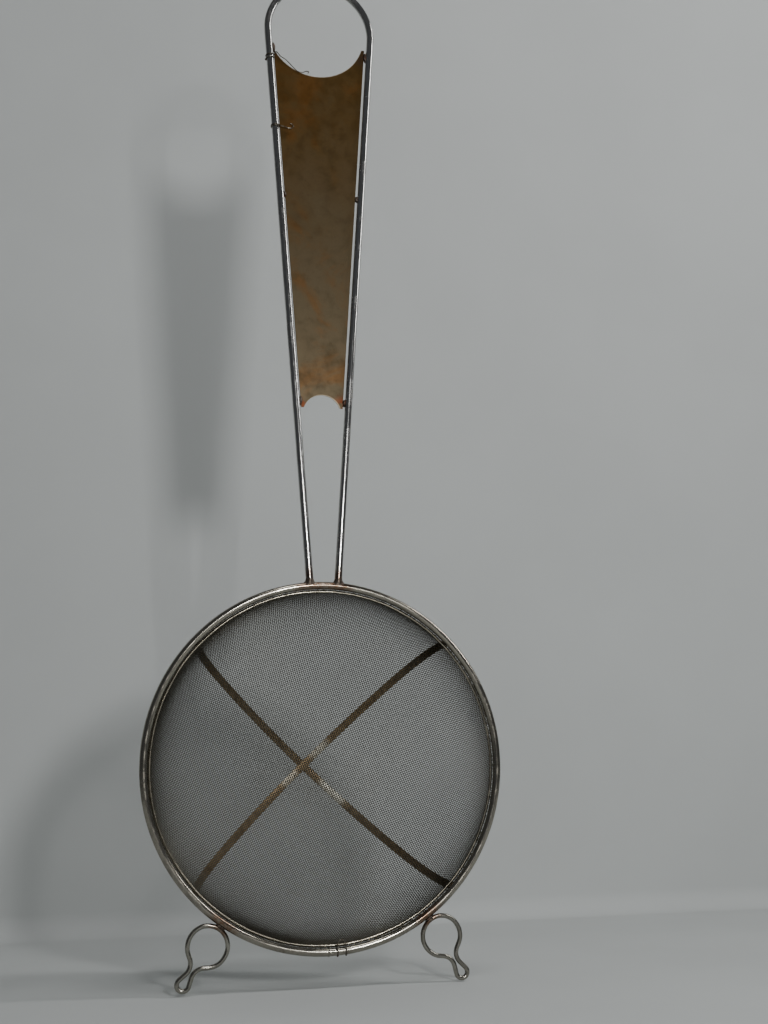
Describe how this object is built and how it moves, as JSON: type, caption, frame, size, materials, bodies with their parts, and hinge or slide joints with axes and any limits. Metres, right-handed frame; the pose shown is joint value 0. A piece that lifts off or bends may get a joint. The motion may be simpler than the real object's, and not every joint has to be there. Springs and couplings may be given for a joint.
{
  "type": "flour sifter",
  "caption": "Large round wire strainer for sifting flour, with a rod rim, woven wire bowl, crossed support straps, keyhole hooks and a long bent-rod handle with a plate web.",
  "frame": {"origin": "centre of the round loop at the end of the handle, in the middle plane of the rods", "axes": "+Z along the handle away from the bowl, +X to the right seen from the open side, open side of the bowl towards -Y"},
  "size_m": [0.4579, 0.1593, 1.3364],
  "materials": {
    "bright_rod": "polished steel rod, fine scratches and dull brown tints near the welds",
    "hook_wire": "polished steel wire",
    "woven_wire": "plain-woven fine steel wire, slightly tarnished towards the rim",
    "hem_wire": "dull steel wire",
    "tarnished_strap": "brown tarnished steel strip with worn bright patches",
    "stained_plate": "brown heat-stained steel sheet with rust spots",
    "weld_bead": "dark rippled weld metal with rust tint",
    "tie_wire": "dull thin steel wire"
  },
  "bodies": {
    "root": {"rim_ring": "bright_rod", "rim_butt_weld": "weld_bead", "mesh_bowl": "woven_wire", "mesh_hem_hoop": "hem_wire", "support_strap_inner": "tarnished_strap", "support_strap_outer": "tarnished_strap", "strap_crossing_weld": "weld_bead", "strap_end_welds": "weld_bead", "handle_rod": "bright_rod", "handle_foot_weld_left": "weld_bead", "handle_foot_weld_right": "weld_bead", "handle_plate": "stained_plate", "plate_welds_upper": "weld_bead", "plate_welds_middle": "weld_bead", "plate_welds_lower": "weld_bead", "hook_left": "hook_wire", "hook_right": "hook_wire", "hook_weld_left": "weld_bead", "hook_weld_right": "weld_bead", "loop_tie_wire": "tie_wire", "handle_tie_wire": "tie_wire", "rim_tie_wire": "tie_wire"}
  },
  "joints": []
}
